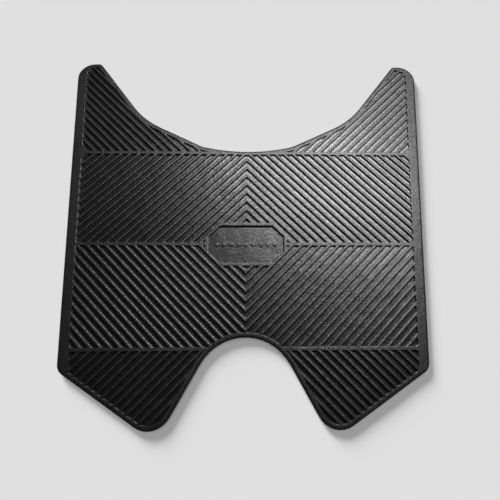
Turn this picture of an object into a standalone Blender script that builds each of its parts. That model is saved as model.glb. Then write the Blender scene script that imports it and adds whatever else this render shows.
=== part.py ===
"""Ribbed rubber footboard mat, held down by peel-and-stick pads on its underside.

Lengths are in metres, +Z is up and +Y points to the horns at the front. The mat is drawn about the
middle of its badge, which is the parent empty, and the empty puts the middle of the whole mat at
the world's origin, with the feet of the mat on Z = 0.
"""

import math

import bmesh
import bpy
from mathutils import Vector

# Outline: the right half's corners as x, y and corner radius, from the front edge round to the arch.
FRONT_EDGE = (0.0000, 0.0902, 0.180)
FRONT_SHOULDER = (0.0440, 0.1001, 0.030)
HORN_ROOT = (0.1032, 0.1298, 0.080)
HORN_TIP_INNER = (0.1527, 0.1961, 0.004)
HORN_TIP_OUTER = (0.1758, 0.1961, 0.0165)
HEEL = (0.1558, -0.1096, 0.010)
LEG_TOE = (0.0709, -0.1646, 0.0195)
REAR_ARCH = (0.0000, -0.0368, 0.0435)
BORDER = 0.0042
SIDE_BORDER = 0.0095
INNER_CORNER_MIN = 0.001
ARC_ERROR = 0.00012

# Heights above the floor.
FOOT_HEIGHT = 0.0010
WEB = 0.0022
RIB_HEIGHT = 0.0020
UNDERSIDE = FOOT_HEIGHT
GROOVE_FLOOR = UNDERSIDE + WEB
TOP = GROOVE_FLOOR + RIB_HEIGHT

# Herringbone ribs at 45 degrees, mirrored at the three cross bars.
RIB_PITCH = 0.0060
RIB_WIDTH = 0.0025
CHEVRON_STEP = RIB_PITCH * math.sqrt(2)
CHEVRON_RIB = RIB_WIDTH * math.sqrt(2)
BADGE_RIB = 0.0432
BAR_WIDTH = 0.0030
BAR_OFFSET = 0.0926
SMALLEST_GROOVE = 1.2e-8

# Badge: an octagon whose frame is flush with the ribs, round a sunken floor.
BADGE_HALF = (0.0373, 0.0204)
BADGE_FRAME = 0.0031
LOZENGE_COUNT = 9
LOZENGE_STEP = 0.0066
LOZENGE_HALF = 0.0024
LOZENGE_HEIGHT = 0.0011

# Fixing pads: foam tape in a shallow pocket, covered by a liner that has a pull tab.
TAPE_LENGTH = 0.060
TAPE_WIDTH = 0.022
TAPE_CORNER = 0.003
TAPE_THICKNESS = 0.0007
POCKET_DEPTH = 0.0008
GAP = 0.0003
LINER_THICKNESS = 0.0002
TAB_LENGTH = 0.012
TAB_WIDTH = 0.012
TAB_CORNER = 0.0055
TAB_ROOT_CORNER = 0.001
FEET_STEP = 0.030
FOOT_RADIUS = 0.0032
FOOT_SIDES = 8
FOOT_EDGE_MARGIN = 0.007
LANE_MARGIN = 0.001
CUT_PAST = 0.002

# Pads on the right half and in the middle: name, centre and the direction in which the liner pulls.
RIGHT_PADS = (
    ("horn", (0.154, 0.133), (0, 1)),
    ("side_front", (0.118, 0.050), (1, 0)),
    ("side_rear", (0.112, -0.045), (1, 0)),
    ("leg", (0.082, -0.104), (0, -1)),
)
CENTRE_PAD = ("centre", (0.0, 0.0), (0, 1))

# Colour, roughness and metallic value.
RUBBER = ("rubber", (0.035, 0.035, 0.036), 0.55, 0.0)
FOAM = ("foam_tape", (0.16, 0.16, 0.17), 0.85, 0.0)
FILM = ("liner_film", (0.55, 0.05, 0.04), 0.35, 0.0)


def clear_scene():
    for obj in list(bpy.data.objects):
        bpy.data.objects.remove(obj, do_unlink=True)


def material(name, colour, roughness, metallic):
    mat = bpy.data.materials.new(name)
    mat.use_nodes = True
    shader = mat.node_tree.nodes["Principled BSDF"]
    shader.inputs["Base Color"].default_value = (*colour, 1.0)
    shader.inputs["Roughness"].default_value = roughness
    shader.inputs["Metallic"].default_value = metallic
    return mat


# ---- Outlines, as lists of 2D points that run clockwise seen from above ----


def all_corners():
    """The closed loop of corners, clockwise from the middle of the front edge."""
    side = [FRONT_SHOULDER, HORN_ROOT, HORN_TIP_INNER, HORN_TIP_OUTER, HEEL, LEG_TOE]
    mirrored = [(-x, y, radius) for x, y, radius in reversed(side)]
    return [FRONT_EDGE, *side, REAR_ARCH, *mirrored]


def edge_borders(corners):
    """The border's width along the edge that leaves each corner: wide on the two long sides."""
    long_side = (HORN_TIP_OUTER[1], HEEL[1])
    widths = []
    for here, after in zip(corners, corners[1:] + corners[:1]):
        is_side = {here[1], after[1]} == set(long_side)
        widths.append(SIDE_BORDER if is_side else BORDER)
    return widths


def inset_corners(corners, borders):
    """Moves each edge inwards by its border and meets the edges again."""
    count = len(corners)
    points = [Vector(corner[:2]) for corner in corners]
    runs = [(points[(i + 1) % count] - points[i]).normalized() for i in range(count)]
    inset = []
    for i in range(count):
        before, after = runs[i - 1], runs[i]
        a = points[i] + Vector((before.y, -before.x)) * borders[i - 1]
        b = points[i] + Vector((after.y, -after.x)) * borders[i]
        cross = before.x * after.y - before.y * after.x
        along = ((b - a).x * after.y - (b - a).y * after.x) / cross
        meet = a + before * along
        mean = (borders[i - 1] + borders[i]) / 2
        radius = corners[i][2] + mean * (1 if cross > 0 else -1)
        inset.append((meet.x, meet.y, max(radius, INNER_CORNER_MIN)))
    return inset


def rounded(corners):
    """The corners with their radii, as points within ARC_ERROR of the true arcs."""
    path = []
    count = len(corners)
    for i, (x, y, radius) in enumerate(corners):
        here = Vector((x, y))
        before = (Vector(corners[i - 1][:2]) - here).normalized()
        after = (Vector(corners[(i + 1) % count][:2]) - here).normalized()
        half = before.angle(after) / 2
        centre = here + (before + after).normalized() * (radius / math.sin(half))
        start = here + before * (radius / math.tan(half)) - centre
        turn = math.pi - 2 * half
        if before.x * after.y - before.y * after.x > 0:
            turn = -turn
        steps = max(1, math.ceil(abs(turn) / (2 * math.acos(1 - ARC_ERROR / radius))))
        for k in range(steps + 1):
            angle = turn * k / steps
            c, s = math.cos(angle), math.sin(angle)
            path.append((centre.x + c * start.x - s * start.y, centre.y + s * start.x + c * start.y))
    return path


def octagon(half_x, half_y, diagonal):
    """A rectangle whose corners are cut along |x| + |y| = diagonal."""
    quarter = [(diagonal - half_y, half_y), (half_x, diagonal - half_x)]
    right = quarter + [(x, -y) for x, y in reversed(quarter)]
    return right + [(-x, -y) for x, y in right]


def rounded_rectangle(length, width, radius):
    """Length runs along X."""
    x, y = length / 2, width / 2
    return rounded([(-x, y, radius), (x, y, radius), (x, -y, radius), (-x, -y, radius)])


def liner_outline():
    """The tape's own outline with a round-ended pull tab at +X."""
    x, y = TAPE_LENGTH / 2, TAPE_WIDTH / 2
    tab_x, tab_y = x + TAB_LENGTH, TAB_WIDTH / 2
    front = [
        (-x, y, TAPE_CORNER), (x, y, TAPE_CORNER), (x, tab_y, TAB_ROOT_CORNER), (tab_x, tab_y, TAB_CORNER),
    ]
    return rounded(front + [(px, -py, radius) for px, py, radius in reversed(front)])


def is_inside(path, x, y):
    inside = False
    for (x0, y0), (x1, y1) in zip(path, path[1:] + path[:1]):
        if (y0 > y) != (y1 > y) and x < x0 + (y - y0) * (x1 - x0) / (y1 - y0):
            inside = not inside
    return inside


# ---- Solids ----


def prisms(name, outlines, low, high):
    """One object with a closed prism between two heights for each outline."""
    mesh = bpy.data.meshes.new(name)
    bm = bmesh.new()
    for outline in outlines:
        base = bm.faces.new([bm.verts.new((x, y, low)) for x, y in outline])
        lifted = bmesh.ops.extrude_face_region(bm, geom=[base], use_keep_orig=True)
        verts = [v for v in lifted["geom"] if isinstance(v, bmesh.types.BMVert)]
        bmesh.ops.translate(bm, verts=verts, vec=(0, 0, high - low))
    bmesh.ops.recalc_face_normals(bm, faces=bm.faces)
    bm.to_mesh(mesh)
    bm.free()
    obj = bpy.data.objects.new(name, mesh)
    bpy.context.scene.collection.objects.link(obj)
    return obj


def combine(obj, tool, operation):
    """Applies one Boolean to obj and keeps the tool out of the model."""
    tool.hide_render = True
    tool.display_type = "WIRE"
    modifier = obj.modifiers.new(tool.name, "BOOLEAN")
    modifier.solver = "EXACT"
    modifier.operation = operation
    modifier.object = tool
    evaluated = obj.evaluated_get(bpy.context.evaluated_depsgraph_get())
    mesh = bpy.data.meshes.new_from_object(evaluated)
    obj.modifiers.clear()
    obj.data = mesh


def drop_slivers(obj, smallest):
    """Deletes the separate closed pieces of obj that hold less than the smallest volume."""
    bm = bmesh.new()
    bm.from_mesh(obj.data)
    left = set(bm.faces)
    while left:
        piece = {left.pop()}
        front = list(piece)
        while front:
            for edge in front.pop().edges:
                for face in edge.link_faces:
                    if face in left:
                        left.remove(face)
                        piece.add(face)
                        front.append(face)
        volume = sum(f.calc_center_median().dot(f.normal) * f.calc_area() for f in piece) / 3
        if volume < smallest:
            bmesh.ops.delete(bm, geom=list(piece), context="FACES")
    bm.to_mesh(obj.data)
    bm.free()


# ---- The mat ----


def chevron(near, far, low, high):
    """Outlines of the band near <= |x| + u <= far between two heights u: two slanted bars, or one V."""
    if near <= low:
        return []
    if near > high:
        right = [(near - low, low), (far - low, low), (far - high, high), (near - high, high)]
        return [right, [(-x, u) for x, u in right]]
    tip = [(far - high, high), (high - far, high)] if far > high else [(0.0, far)]
    return [[(near - low, low), (far - low, low), *tip, (low - far, low), (low - near, low), (0.0, near)]]


def groove_outlines():
    """The grooves of the four fields, which mirror each other at the cross bars."""
    half_bar = BAR_WIDTH / 2
    inner_high = BAR_OFFSET - half_bar
    groove = CHEVRON_STEP - CHEVRON_RIB
    reach = HORN_TIP_OUTER[0] + BAR_OFFSET
    first = BADGE_RIB + CHEVRON_RIB / 2 - CHEVRON_STEP * math.floor(BADGE_RIB / CHEVRON_STEP)
    starts = [first + CHEVRON_STEP * k for k in range(math.ceil(reach / CHEVRON_STEP))]
    horn_low = 2 * BAR_OFFSET - HORN_TIP_OUTER[1]
    leg_low = 2 * BAR_OFFSET + LEG_TOE[1]
    fields = (
        (half_bar, lambda u: u),
        (half_bar, lambda u: -u),
        (horn_low, lambda u: 2 * BAR_OFFSET - u),
        (leg_low, lambda u: u - 2 * BAR_OFFSET),
    )
    outlines = []
    for low, height in fields:
        for start in starts:
            for band in chevron(start, start + groove, low, inner_high):
                outlines.append([(x, height(u)) for x, u in band])
    return outlines


def badge_octagon(inset):
    """The badge's outline moved inwards; its cut corners lie along a rib."""
    half_x, half_y = (half - inset for half in BADGE_HALF)
    outer_diagonal = BADGE_RIB + CHEVRON_RIB / 2
    return octagon(half_x, half_y, outer_diagonal - CHEVRON_RIB * inset / BADGE_FRAME)


def lozenges():
    """A row of raised diamonds on the badge's floor."""
    middle = (LOZENGE_COUNT - 1) / 2
    size = LOZENGE_HALF
    row = []
    for k in range(LOZENGE_COUNT):
        x = (k - middle) * LOZENGE_STEP
        row.append([(x - size, 0.0), (x, size), (x + size, 0.0), (x, -size)])
    return row


def groove_cutter(field_outline):
    """Everything that is sunk into the mat's top: the grooves and the badge's floor."""
    above = TOP + CUT_PAST
    grooves = prisms("grooves", groove_outlines(), GROOVE_FLOOR, above)
    field = prisms("field", [field_outline], GROOVE_FLOOR - CUT_PAST, above + CUT_PAST)
    badge = prisms("badge", [badge_octagon(0)], GROOVE_FLOOR - 2 * CUT_PAST, above + 2 * CUT_PAST)
    combine(field, badge, "DIFFERENCE")
    combine(grooves, field, "INTERSECT")
    drop_slivers(grooves, SMALLEST_GROOVE)
    return grooves


def pad_list():
    """Every pad as name, centre and pull direction, left ones mirrored from the right."""
    pads = [CENTRE_PAD]
    for name, (x, y), (dx, dy) in RIGHT_PADS:
        pads.append((name + "_right", (x, y), (dx, dy)))
        pads.append((name + "_left", (-x, y), (-dx, dy)))
    return pads


def pad_angle(direction):
    return math.atan2(direction[1], direction[0])


def placed(outline, centre, angle):
    c, s = math.cos(angle), math.sin(angle)
    return [(centre[0] + c * x - s * y, centre[1] + s * x + c * y) for x, y in outline]


def in_a_lane(x, y):
    """True where a foot would stand under a tape or in the way of a liner being pulled out."""
    clear = TAPE_WIDTH / 2 + FOOT_RADIUS + LANE_MARGIN
    for _, (px, py), (dx, dy) in pad_list():
        along = (x - px) * dx + (y - py) * dy
        across = abs((x - px) * dy - (y - py) * dx)
        if across < clear and along > -TAPE_LENGTH / 2 - clear + TAPE_WIDTH / 2:
            return True
    return False


def feet_outlines():
    """Low round feet on a square grid, clear of the pads and of the edge."""
    borders = [FOOT_EDGE_MARGIN] * len(all_corners())
    zone = rounded(inset_corners(all_corners(), borders))
    reach = math.ceil(HORN_TIP_OUTER[1] / FEET_STEP)
    feet = []
    for row in range(-reach, reach + 1):
        for column in range(-reach, reach):
            x, y = (column + 0.5) * FEET_STEP, row * FEET_STEP
            if is_inside(zone, x, y) and not in_a_lane(x, y):
                turns = [-2 * math.pi * k / FOOT_SIDES for k in range(FOOT_SIDES)]
                feet.append([(x + FOOT_RADIUS * math.cos(t), y + FOOT_RADIUS * math.sin(t)) for t in turns])
    return feet


def make_mat(rubber):
    corners = all_corners()
    mat = prisms("mat", [rounded(corners)], UNDERSIDE, TOP)
    field_outline = rounded(inset_corners(corners, edge_borders(corners)))
    combine(mat, groove_cutter(field_outline), "DIFFERENCE")
    badge_floor = prisms("badge_floor", [badge_octagon(BADGE_FRAME)], GROOVE_FLOOR, TOP + CUT_PAST)
    combine(mat, badge_floor, "DIFFERENCE")
    embed = WEB / 3
    raised = prisms("badge_lozenges", lozenges(), GROOVE_FLOOR - embed, GROOVE_FLOOR + LOZENGE_HEIGHT)
    combine(mat, raised, "UNION")
    pocket = rounded_rectangle(TAPE_LENGTH + 2 * GAP, TAPE_WIDTH + 2 * GAP, TAPE_CORNER + GAP)
    pockets = [placed(pocket, centre, pad_angle(pull)) for _, centre, pull in pad_list()]
    combine(mat, prisms("pockets", pockets, UNDERSIDE - CUT_PAST, UNDERSIDE + POCKET_DEPTH), "DIFFERENCE")
    combine(mat, prisms("feet", feet_outlines(), 0.0, UNDERSIDE + embed), "UNION")
    mat.data.materials.clear()
    mat.data.materials.append(rubber)
    return mat


# ---- The fixing pads ----


def make_pads(foam, film, parent):
    """A tape and a liner for each pad; each liner's origin is in the middle of its tape."""
    tape_top = UNDERSIDE + POCKET_DEPTH - GAP
    tape_bottom = tape_top - TAPE_THICKNESS
    liner_top = tape_bottom - GAP
    tape_path = rounded_rectangle(TAPE_LENGTH, TAPE_WIDTH, TAPE_CORNER)
    layers = (
        ("tape", tape_path, tape_bottom, tape_top, foam),
        ("liner", liner_outline(), liner_top - LINER_THICKNESS, liner_top, film),
    )
    for name, centre, pull in pad_list():
        for layer, path, low, high, finish in layers:
            obj = prisms(f"{layer}_{name}", [path], 0.0, high - low)
            obj.location = (*centre, low)
            obj.rotation_euler = (0, 0, pad_angle(pull))
            obj.parent = parent
            obj.data.materials.append(finish)


def main():
    clear_scene()
    outline_y = [y for _, y in rounded(all_corners())]
    badge_centre = bpy.data.objects.new("badge_centre", None)
    badge_centre.location = (0, -(max(outline_y) + min(outline_y)) / 2, 0)
    bpy.context.scene.collection.objects.link(badge_centre)
    mat = make_mat(material(*RUBBER))
    mat.parent = badge_centre
    make_pads(material(*FOAM), material(*FILM), badge_centre)


main()
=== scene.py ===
"""Looks for the ribbed rubber footboard mat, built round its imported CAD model.

Lengths are in metres in the CAD model's frame: +Z up, +Y towards the horns, the floor at Z = 0. The
mat's fine surface is rebuilt from the outlines of the CAD model's own flat faces, with the rounded
edges, draft and slight unevenness of a rubber moulding.
"""

import math

import bmesh
import bpy
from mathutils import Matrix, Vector, noise
from mathutils.kdtree import KDTree


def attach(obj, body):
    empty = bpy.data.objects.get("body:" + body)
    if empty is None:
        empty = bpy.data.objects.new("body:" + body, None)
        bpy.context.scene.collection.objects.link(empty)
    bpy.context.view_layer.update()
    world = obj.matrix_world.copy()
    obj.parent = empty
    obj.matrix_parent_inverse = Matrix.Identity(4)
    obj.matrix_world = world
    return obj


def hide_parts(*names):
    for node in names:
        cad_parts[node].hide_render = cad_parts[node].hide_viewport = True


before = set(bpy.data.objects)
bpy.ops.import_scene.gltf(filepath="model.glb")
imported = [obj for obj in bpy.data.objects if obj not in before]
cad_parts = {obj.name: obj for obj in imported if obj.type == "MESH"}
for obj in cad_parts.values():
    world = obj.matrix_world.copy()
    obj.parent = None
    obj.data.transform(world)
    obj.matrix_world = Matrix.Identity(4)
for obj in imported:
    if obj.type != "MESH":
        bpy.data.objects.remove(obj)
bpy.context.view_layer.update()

MM = 0.001

# Reading the CAD model's flat faces.
WELD = 0.001 * MM
LEVEL_TOLERANCE = 0.02 * MM
FLAT_NORMAL = 0.9
STRAIGHT_TURN = math.radians(1)

# Shaping an outline: the turn that counts as a corner, the points on a rounded corner, the share of a run
# that rounding may take, the longest mitre as a multiple of the shift, and the longest straight run.
SHARP_TURN = math.radians(24)
CORNER_STEPS = 3
CORNER_SHARE = 0.45
MITRE_LIMIT = 2.6
RUN_STEP = 5.5 * MM

# Moulded profiles, in millimetres: how far into the rubber from the drawn outline, and how far down
# from the face that the outline is on. A negative drop rises above that face.
GROOVE_PROFILE = (
    (1.2, 0.0), (0.95, 0.011), (0.72, 0.035), (0.5, 0.072), (0.32, 0.12), (0.18, 0.185), (0.08, 0.275),
    (0.02, 0.424), (-0.12, 1.5), (-0.18, 1.74), (-0.29, 1.92), (-0.45, 2.0),
)
EDGE_PROFILE = (
    (2.4, 0.0), (1.9, 0.05), (1.4, 0.16), (0.8, 0.35), (0.36, 0.64), (0.09, 1.02), (0.0, 1.45),
    (0.0, 3.75), (0.08, 4.0), (0.3, 4.2),
)
LOZENGE_PROFILE = (
    (0.28, 0.0), (0.1, -0.05), (0.0, -0.2), (-0.1, -0.85), (-0.2, -1.03), (-0.45, -1.1),
)
POCKET_PROFILE = ((0.15, 0.0), (0.03, -0.06), (0.0, -0.2), (0.0, -0.65), (-0.1, -0.8))
FOOT_PROFILE = ((0.4, 0.0), (0.12, 0.08), (0.0, 0.3), (-0.12, 0.75), (-0.4, 0.95), (-0.9, 1.0))
TAPE_PROFILE = ((0.1, 0.0), (0.02, 0.05), (0.05, 0.35), (0.02, 0.65), (0.1, 0.7))
LINER_PROFILE = ((0.06, 0.0), (0.0, 0.05), (0.0, 0.15), (0.06, 0.2))
GROOVE_CORNER = 0.5 * MM
BADGE_CORNER = 1 * MM
FOOT_AREA = 40 * MM * MM
FOOT_STEPS = 20

# The ribs' sides, at 45 degrees, have the full crown, and the grooves' ends have a share of it. A groove too
# small for the whole profile has it scaled by its room, its area over its perimeter.
DIAGONAL_TOLERANCE = 0.02
END_ROUNDING = 0.35
SCALE_PER_ROOM = 0.9 / MM

# The rim slopes down a little towards the edge.
RIM_DROP = 0.65 * MM
RIM_WIDTH = 9.5 * MM
RIM_STEP = 1 * MM

# Unevenness of the soft rubber: height, and waves per metre. The drift's vector noise needs a seed, or it
# starts from the clock and the mesh differs from run to run.
WAVES = ((0.22 * MM, 11.0), (0.07 * MM, 45.0))
RIB_DRIFT = (0.07 * MM, 90.0)
DRIFT_SEED = 7
FLAT_FACE_WEIGHT = 80

# Where the rubber's looks change: between groove floor and rib top, and between leaning and level.
FLOOR_TO_TOP = (3.6 * MM, 4.6 * MM)
LEANING_TO_LEVEL = (0.90, 0.985)

# Colours, as linear RGB, and how much of the scuffs and the dust shows.
# The groove black, darker than the top black, is painted shade in the grooves, on the walls and along the
# rib edges.
SHADED_GROOVE_BLACK = (0.002, 0.002, 0.002)
TOP_BLACK = (0.005, 0.005, 0.005)
SCUFF_GREY = (0.030, 0.030, 0.0295)
SCUFF_SHARE = 0.35
DUST_GREY = (0.22, 0.215, 0.20)
DUST_SHARE = 0.7
FOAM_GREYS = ((0.13, 0.13, 0.135), (0.19, 0.19, 0.195))
FILM_REDS = ((0.42, 0.022, 0.018), (0.56, 0.040, 0.030))
FLOOR_COLOUR = (0.80, 0.80, 0.80)

# Roughness of the rubber, and what is added to it or taken from it.
GROOVE_ROUGHNESS = 0.32
TOP_ROUGHNESS = 0.47
PATCH_ROUGHNESS = 0.04
SCUFF_ROUGHNESS = 0.06
CORNER_ROUGHNESS = 0.45
EDGE_POLISH = 0.22

# Camera and light.
CAMERA_PLACE = (0.0109, -0.1209, 0.3405)
CAMERA_TURN = (math.radians(15.87), math.radians(-1.17), math.radians(-0.28))
CAMERA_LENS = 27.7
CAMERA_SENSOR = 36.0
CAMERA_SHIFT = -0.0323
CAMERA_CLIP = 0.01
NEAR_PLACE = (0.126, 0.216, 0.350)
NEAR_SIZE = (0.42, 0.17)
NEAR_POWER = 4.3
FAR_PLACE = (0.37, 0.63, 0.68)
FAR_SIZE = (0.35, 0.25)
FAR_POWER = 2.8
LOW_TOWARDS = (-0.48, 0.82, 0.31)
LOW_STRENGTH = 5.35
LOW_SOFTNESS = math.radians(20)
TOP_TOWARDS = (0.0, 0.0, 1.0)
TOP_STRENGTH = 1.08
TOP_SOFTNESS = math.radians(60)
AMBIENT = 0.06
FLOOR_SIZE = 12
BACKDROP = 0.753


# ---- Outlines read from the CAD model ----


def welded(node):
    """The CAD node's triangles as one bmesh with shared vertices."""
    bm = bmesh.new()
    bm.from_mesh(node.data)
    bmesh.ops.remove_doubles(bm, verts=bm.verts, dist=WELD)
    bm.normal_update()
    return bm


def turn_at(before, here, after):
    """The angle by which a path turns left at a point."""
    a, b = here - before, after - here
    return math.atan2(a.x * b.y - a.y * b.x, a.dot(b))


def straightened(points):
    """The closed outline without the points that lie on a straight run."""
    count = len(points)
    return [
        p for i, p in enumerate(points)
        if abs(turn_at(points[i - 1], p, points[(i + 1) % count])) > STRAIGHT_TURN
    ]


def outlines_at(bm, height, facing):
    """Closed outlines of the flat faces at a height that face up (1) or down (-1), rubber on the left."""
    flat = [
        f for f in bm.faces
        if f.normal.z * facing > FLAT_NORMAL and abs(f.calc_center_median().z - height) < LEVEL_TOLERANCE
    ]
    inside = set(flat)
    after = {}
    for face in flat:
        for corner in face.loops:
            if not any(other in inside for other in corner.edge.link_faces if other is not face):
                after[corner.vert] = corner.link_loop_next.vert
    outlines = []
    while after:
        vert = next(iter(after))
        points = []
        while vert in after:
            points.append(Vector(vert.co.xy))
            vert = after.pop(vert)
        outlines.append(straightened(points if facing > 0 else points[::-1]))
    return outlines


def signed_area(points):
    """Positive where the outline runs anticlockwise, as the edge does; negative round a hole."""
    return sum(a.x * b.y - b.x * a.y for a, b in zip(points, points[1:] + points[:1])) / 2


def perimeter(points):
    return sum((b - a).length for a, b in zip(points, points[1:] + points[:1]))


# ---- Shaping an outline ----


def sharp_corners(points):
    """For each point, whether the closed outline turns sharply there."""
    count = len(points)
    turns = [turn_at(points[i - 1], p, points[(i + 1) % count]) for i, p in enumerate(points)]
    return [abs(turn) > SHARP_TURN for turn in turns]


def softened(points, sharp, radius):
    """The outline with its sharp corners rounded."""
    shaped = []
    count = len(points)
    for i, here in enumerate(points):
        before, after = points[i - 1], points[(i + 1) % count]
        if not sharp[i]:
            shaped.append(here)
            continue
        room = CORNER_SHARE * min((here - before).length, (after - here).length)
        cut = min(radius * math.tan(abs(turn_at(before, here, after)) / 2), room)
        start = here + (before - here).normalized() * cut
        end = here + (after - here).normalized() * cut
        for k in range(CORNER_STEPS + 1):
            t = k / CORNER_STEPS
            shaped.append(start.lerp(here, t).lerp(here.lerp(end, t), t))
    return shaped


def divided(points, step):
    """The outline with its long runs split, so that they can follow the rubber's waves."""
    fine = []
    for a, b in zip(points, points[1:] + points[:1]):
        parts = max(1, round((b - a).length / step))
        fine.extend(a.lerp(b, k / parts) for k in range(parts))
    return fine


def shifted(points, sharp, distances):
    """The outline with its edges moved to their left, into the rubber, by a distance for each edge."""
    moved = []
    count = len(points)
    for i, here in enumerate(points):
        before = (here - points[i - 1]).normalized()
        after = (points[(i + 1) % count] - here).normalized()
        first, second = distances[i - 1], distances[i]
        if sharp[i]:
            step = (after * first - before * second) / (before.x * after.y - before.y * after.x)
            longest = MITRE_LIMIT * max(abs(first), abs(second))
            if step.length > longest:
                step.length = longest
        else:
            left = Vector((-before.y - after.y, before.x + after.x)).normalized()
            step = left * ((first + second) / 2 / left.dot(Vector((-before.y, before.x))))
        moved.append(here + step)
    return moved


# ---- Mesh building ----


def rings(bm, points, level, profile, corner=0.0, scale=1.0, rounding=None):
    """A band of faces that follows a moulded profile round an outline; returns its first and last ring.

    The corner is the radius of the sharp corners. The rounding, a factor for each edge, narrows the part
    of the profile that lies in the rubber.
    """
    made = []
    sharp = sharp_corners(points)
    for into, drop in profile:
        factors = rounding if rounding and into > 0 else [1.0] * len(points)
        outline = shifted(points, sharp, [into * scale * MM * factor for factor in factors])
        if corner:
            outline = softened(outline, sharp, corner)
        made.append([bm.verts.new((p.x, p.y, level - drop * MM)) for p in outline])
    for upper, lower in zip(made, made[1:]):
        for i in range(len(upper)):
            bm.faces.new((upper[i - 1], upper[i], lower[i], lower[i - 1]))
    return made[0], made[-1]


def fill(bm, *outlines):
    """Flat faces inside the first ring and outside the others."""
    edges = [bm.edges.get((ring[i - 1], ring[i])) for ring in outlines for i in range(len(ring))]
    bmesh.ops.triangle_fill(bm, edges=edges, use_beauty=True, use_dissolve=False)


def uneven(bm, low, high, edge):
    """Slopes the rim and lets the upper surface wave a little; the underside keeps its place."""
    noise.seed_set(DRIFT_SEED)
    drift, drift_scale = RIB_DRIFT
    edge_points = divided(edge, RIM_STEP)
    nearest = KDTree(len(edge_points))
    for i, point in enumerate(edge_points):
        nearest.insert(point.to_3d(), i)
    nearest.balance()
    for vert in bm.verts:
        share = min(1.0, max(0.0, (vert.co.z - low) / (high - low)))
        place = Vector((vert.co.x, vert.co.y, 0.0))
        outward = max(0.0, 1.0 - nearest.find(place)[2] / RIM_WIDTH)
        lift = sum(height * noise.noise(place * scale) for height, scale in WAVES)
        lift -= RIM_DROP * outward
        sway = noise.noise_vector(place * drift_scale)
        vert.co += Vector((sway.x * drift, sway.y * drift, lift)) * share


def finished(bm, name, material):
    """The bmesh as a smooth-shaded object."""
    bmesh.ops.recalc_face_normals(bm, faces=bm.faces)
    loose = [e for e in bm.edges if not e.is_manifold]
    if loose:
        raise RuntimeError(f"{name} is open along {len(loose)} edges")
    mesh = bpy.data.meshes.new(name)
    bm.to_mesh(mesh)
    bm.free()
    mesh.shade_smooth()
    mesh.materials.append(material)
    obj = bpy.data.objects.new(name, mesh)
    bpy.context.scene.collection.objects.link(obj)
    weighted = obj.modifiers.new("flat faces stay flat", "WEIGHTED_NORMAL")
    weighted.weight = FLAT_FACE_WEIGHT
    return obj


# ---- The mat ----


def rib_rounding(points):
    """For each edge, 1 along a rib's side and END_ROUNDING where a groove ends at a border."""
    sides = []
    for a, b in zip(points, points[1:] + points[:1]):
        run = (b - a).normalized()
        sides.append(1.0 if abs(abs(run.x) - abs(run.y)) < DIAGONAL_TOLERANCE else END_ROUNDING)
    return sides


def levels(bm):
    """Heights of a CAD node's flat faces, low to high."""
    found = []
    for height in sorted(f.calc_center_median().z for f in bm.faces if abs(f.normal.z) > FLAT_NORMAL):
        if not found or height - found[-1] > LEVEL_TOLERANCE:
            found.append(height)
    return found


def groove_scale(points):
    """Less than 1 for a groove that is too small for the full profile."""
    room = abs(signed_area(points)) / perimeter(points)
    return min(1.0, SCALE_PER_ROOM * room)


def moulded_top(bm, cad, floor, top):
    """Rings and faces of the ribbed side and the edge; returns the edge's outline and its lowest ring."""
    outlines = sorted(outlines_at(cad, top, 1), key=lambda loop: -abs(signed_area(loop)))
    edge, badge, grooves = outlines[0], outlines[1], outlines[2:]
    outer, bottom = rings(bm, divided(edge, RUN_STEP), top, EDGE_PROFILE)
    mouths = []
    for outline in grooves:
        fine = divided(outline, RUN_STEP)
        scale = groove_scale(outline)
        mouth, base = rings(bm, fine, top, GROOVE_PROFILE, GROOVE_CORNER, scale, rib_rounding(fine))
        fill(bm, base)
        mouths.append(mouth)
    mouth, badge_floor = rings(bm, divided(badge, RUN_STEP), top, GROOVE_PROFILE, BADGE_CORNER)
    mouths.append(mouth)
    lozenge_feet = []
    for outline in outlines_at(cad, floor, 1):
        if signed_area(outline) < 0:
            foot, summit = rings(bm, divided(outline, RUN_STEP), floor, LOZENGE_PROFILE, GROOVE_CORNER)
            fill(bm, summit)
            lozenge_feet.append(foot)
    fill(bm, badge_floor, *lozenge_feet)
    fill(bm, outer, *mouths)
    return edge, bottom


def round_foot(outline):
    """A true circle through the corners of a CAD foot, clockwise."""
    centre = sum(outline, Vector((0, 0))) / len(outline)
    radius = (outline[0] - centre).length
    turns = [-2 * math.pi * k / FOOT_STEPS for k in range(FOOT_STEPS)]
    return [centre + radius * Vector((math.cos(t), math.sin(t))) for t in turns]


def moulded_underside(bm, cad, underside, bottom):
    """Rings and faces of the side with the tape pockets and the feet."""
    mouths = []
    for outline in outlines_at(cad, underside, -1):
        area = signed_area(outline)
        if area > 0:
            continue
        if abs(area) < FOOT_AREA:
            mouth, base = rings(bm, round_foot(outline), underside, FOOT_PROFILE)
        else:
            mouth, base = rings(bm, divided(outline, RUN_STEP), underside, POCKET_PROFILE)
        fill(bm, base)
        mouths.append(mouth)
    fill(bm, bottom, *mouths)


def make_mat(material):
    cad = welded(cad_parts["mat"])
    _feet, underside, _pockets, floor, _lozenges, top = levels(cad)
    bm = bmesh.new()
    edge, bottom = moulded_top(bm, cad, floor, top)
    moulded_underside(bm, cad, underside, bottom)
    cad.free()
    uneven(bm, underside, top, edge)
    mat = finished(bm, "rubber_mat", material)
    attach(mat, "mat")
    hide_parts("mat")
    return mat


# ---- The fixing pads ----


def make_layer(node, name, body, profile, material):
    """A tape or a liner, with the softened edges of a die-cut layer."""
    cad = welded(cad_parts[node])
    bm = bmesh.new()
    top = max(levels(cad))
    upper, lower = rings(bm, divided(outlines_at(cad, top, 1)[0], RUN_STEP), top, profile)
    fill(bm, upper)
    fill(bm, lower)
    cad.free()
    piece = finished(bm, name, material)
    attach(piece, body)
    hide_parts(node)
    return piece


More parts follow.
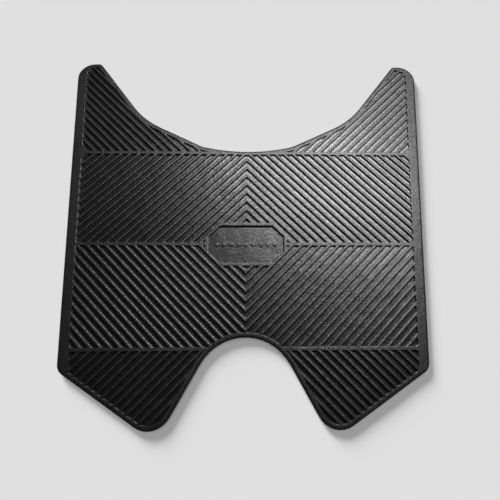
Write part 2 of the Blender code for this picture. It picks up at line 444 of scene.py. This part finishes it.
def make_pads(foam, film):
    pads = []
    for node in sorted(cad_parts):
        if node.startswith("tape_"):
            pads.append(make_layer(node, "foam_" + node, "mat", TAPE_PROFILE, foam))
        elif node.startswith("liner_"):
            pads.append(make_layer(node, "film_" + node, node, LINER_PROFILE, film))
    return pads


# ---- Materials ----


class Nodes:
    """Short calls for building one material's node tree."""

    def __init__(self, name):
        self.material = bpy.data.materials.new(name)
        self.material.use_nodes = True
        self.tree = self.material.node_tree
        self.shader = self.tree.nodes["Principled BSDF"]
        self.place = self.add("ShaderNodeTexCoord").outputs["Object"]

    def add(self, kind, inputs=(), **settings):
        node = self.tree.nodes.new(kind)
        for key, value in settings.items():
            setattr(node, key, value)
        for key, value in dict(inputs).items():
            self.feed(node.inputs[key], value)
        return node

    def feed(self, socket, value):
        """Links another node's output to the socket, or gives the socket a value of its own."""
        if isinstance(value, bpy.types.NodeSocket):
            self.tree.links.new(value, socket)
        else:
            socket.default_value = value

    def noise(self, scale, detail=3.0, roughness=0.55):
        """Soft noise with about scale waves to the metre."""
        values = {"Vector": self.place, "Scale": scale, "Detail": detail, "Roughness": roughness}
        return self.add("ShaderNodeTexNoise", values).outputs["Fac"]

    def spread(self, value, low, high, to_low, to_high):
        """The range from low to high, spread over the range from to_low to to_high."""
        values = {"Value": value, "From Min": low, "From Max": high, "To Min": to_low, "To Max": to_high}
        return self.add("ShaderNodeMapRange", values).outputs["Result"]

    def maths(self, operation, a, b):
        node = self.add("ShaderNodeMath", {0: a, 1: b}, operation=operation)
        return node.outputs["Value"]

    def blend(self, share, a, b):
        """A mix of two colours, each of them a socket or an RGB triple."""
        node = self.add("ShaderNodeMix", {"Factor": share}, data_type="RGBA")
        for socket, colour in zip([s for s in node.inputs if s.type == "RGBA"], (a, b)):
            self.feed(socket, (*colour, 1.0) if isinstance(colour, tuple) else colour)
        return next(s for s in node.outputs if s.type == "RGBA")

    def bump(self, height, distance, strength=1.0, under=None):
        values = {"Height": height, "Distance": distance, "Strength": strength}
        if under is not None:
            values["Normal"] = under
        return self.add("ShaderNodeBump", values).outputs["Normal"]

    def finish(self, **inputs):
        for key, value in inputs.items():
            self.feed(self.shader.inputs[key.replace("_", " ")], value)
        return self.material


def rubber_material():
    """Black rubber: scuffed and grained on top, smoother in the grooves and painted darker there as shade,
    polished along the rib edges.
    """
    n = Nodes("moulded_rubber")
    height = n.add("ShaderNodeSeparateXYZ", {"Vector": n.place}).outputs["Z"]
    normal = n.add("ShaderNodeNewGeometry").outputs["Normal"]
    upwards = n.add("ShaderNodeSeparateXYZ", {"Vector": normal}).outputs["Z"]
    lean = n.spread(upwards, *LEANING_TO_LEVEL, 1.0, 0.0)
    high = n.spread(height, *FLOOR_TO_TOP, 0.0, 1.0)
    edge = n.maths("MULTIPLY", high, lean)
    rib_top = n.maths("SUBTRACT", high, edge)
    corner = n.maths("SUBTRACT", lean, edge)

    scuffs = n.spread(n.noise(160.0, detail=6.0, roughness=0.7), 0.56, 0.72, 0.0, 1.0)
    worn = n.maths("MULTIPLY", scuffs, rib_top)
    specks = n.add("ShaderNodeTexVoronoi", {"Vector": n.place, "Scale": 420.0, "Randomness": 1.0})
    near = n.spread(specks.outputs["Distance"], 0.07, 0.13, 1.0, 0.0)
    rare = n.spread(n.noise(260.0, detail=1.0), 0.66, 0.70, 0.0, 1.0)
    dust = n.maths("MULTIPLY", near, rare)

    # Painted shade: everything but the level rib tops gets the darker groove black.
    black = n.blend(rib_top, SHADED_GROOVE_BLACK, TOP_BLACK)
    scuffed = n.blend(n.maths("MULTIPLY", worn, SCUFF_SHARE), black, SCUFF_GREY)
    dusty = n.blend(n.maths("MULTIPLY", dust, DUST_SHARE), scuffed, DUST_GREY)

    even = n.spread(high, 0.0, 1.0, GROOVE_ROUGHNESS, TOP_ROUGHNESS)
    patches = n.spread(n.noise(14.0, detail=4.0), 0.3, 0.7, -PATCH_ROUGHNESS, PATCH_ROUGHNESS)
    patchy = n.maths("ADD", even, patches)
    polished = n.maths("SUBTRACT", patchy, n.maths("MULTIPLY", edge, EDGE_POLISH))
    matte = n.maths("ADD", polished, n.maths("MULTIPLY", corner, CORNER_ROUGHNESS))
    rough = n.maths("ADD", matte, n.maths("MULTIPLY", worn, SCUFF_ROUGHNESS))

    skin = n.spread(rib_top, 0.0, 1.0, 0.45, 0.9)
    ripples = n.bump(n.noise(75.0, detail=2.0), 1.0 * MM, strength=0.5)
    pebble = n.bump(n.noise(620.0), 0.30 * MM, strength=skin, under=ripples)
    grain = n.bump(n.noise(1500.0, detail=2.0), 0.14 * MM, strength=skin, under=pebble)
    glint = n.spread(n.noise(1000.0, detail=2.0, roughness=0.7), 0.34, 0.66, 0.15, 0.95)
    return n.finish(Base_Color=dusty, Roughness=rough, Normal=grain, Specular_IOR_Level=glint)


def foam_material():
    """Grey closed-cell foam with an adhesive face."""
    n = Nodes("acrylic_foam")
    cells = n.add("ShaderNodeTexVoronoi", {"Vector": n.place, "Scale": 2600.0}).outputs["Distance"]
    colour = n.blend(n.noise(60.0), *FOAM_GREYS)
    return n.finish(Base_Color=colour, Roughness=0.8, Normal=n.bump(cells, 0.06 * MM, strength=0.6))


def film_material():
    """Smooth red release film with faint ripples."""
    n = Nodes("release_film")
    colour = n.blend(n.noise(30.0), *FILM_REDS)
    rough = n.spread(n.noise(240.0), 0.3, 0.7, 0.24, 0.36)
    ripples = n.bump(n.noise(55.0, detail=2.0), 0.4 * MM, strength=0.5)
    return n.finish(Base_Color=colour, Roughness=rough, Normal=ripples)


def floor_material():
    """Plain pale card."""
    n = Nodes("pale_floor")
    return n.finish(Base_Color=(*FLOOR_COLOUR, 1.0), Roughness=0.95, Specular_IOR_Level=0.0)


# ---- Stage ----


def make_floor():
    bpy.ops.mesh.primitive_plane_add(size=FLOOR_SIZE)
    floor = bpy.context.object
    floor.name = "floor"
    floor.data.materials.append(floor_material())
    return floor


def lights_only(light, pieces):
    """Keeps a light off everything but the given pieces."""
    group = bpy.data.collections.new(light.name + "_lights")
    for piece in pieces:
        group.objects.link(piece)
    light.light_linking.receiver_collection = group


def make_light(name, kind, pieces, **settings):
    data = bpy.data.lights.new(name, kind)
    for key, value in settings.items():
        setattr(data, key, value)
    light = bpy.data.objects.new(name, data)
    light.visible_camera = False
    light.rotation_mode = "QUATERNION"
    bpy.context.scene.collection.objects.link(light)
    lights_only(light, pieces)
    return light


def make_softbox(name, pieces, place, size, power):
    """A softbox that points at the middle of the mat."""
    width, height = size
    softbox = make_light(name, "AREA", pieces, energy=power, shape="RECTANGLE", size=width, size_y=height)
    softbox.location = place
    softbox.rotation_quaternion = Vector(place).to_track_quat("Z", "Y")


def make_sun(name, pieces, towards, strength, softness):
    sun = make_light(name, "SUN", pieces, energy=strength, angle=softness)
    sun.rotation_quaternion = Vector(towards).to_track_quat("Z", "Y")


def make_world():
    """A pale backdrop for the camera that lights the scene only softly."""
    world = bpy.data.worlds.new("studio")
    bpy.context.scene.world = world
    world.use_nodes = True
    tree = world.node_tree
    soft = tree.nodes["Background"]
    soft.inputs["Color"].default_value = (1, 1, 1, 1)
    soft.inputs["Strength"].default_value = AMBIENT
    seen = tree.nodes.new("ShaderNodeBackground")
    seen.inputs["Color"].default_value = (1, 1, 1, 1)
    seen.inputs["Strength"].default_value = BACKDROP
    mix = tree.nodes.new("ShaderNodeMixShader")
    path = tree.nodes.new("ShaderNodeLightPath")
    tree.links.new(path.outputs["Is Camera Ray"], mix.inputs["Fac"])
    tree.links.new(soft.outputs[0], mix.inputs[1])
    tree.links.new(seen.outputs[0], mix.inputs[2])
    tree.links.new(mix.outputs[0], tree.nodes["World Output"].inputs["Surface"])


def make_camera():
    data = bpy.data.cameras.new("camera")
    data.lens = CAMERA_LENS
    data.sensor_width = CAMERA_SENSOR
    data.shift_x = CAMERA_SHIFT
    data.clip_start = CAMERA_CLIP
    camera = bpy.data.objects.new("camera", data)
    camera.location = CAMERA_PLACE
    camera.rotation_euler = CAMERA_TURN
    bpy.context.scene.collection.objects.link(camera)
    bpy.context.scene.camera = camera


make_camera()
make_world()
floor = make_floor()
product = [make_mat(rubber_material()), *make_pads(foam_material(), film_material())]
make_softbox("near_softbox", product, NEAR_PLACE, NEAR_SIZE, NEAR_POWER)
make_softbox("far_softbox", product, FAR_PLACE, FAR_SIZE, FAR_POWER)
make_sun("low_sun", [floor], LOW_TOWARDS, LOW_STRENGTH, LOW_SOFTNESS)
make_sun("top_sun", [floor], TOP_TOWARDS, TOP_STRENGTH, TOP_SOFTNESS)
bpy.context.scene.view_settings.view_transform = "Standard"
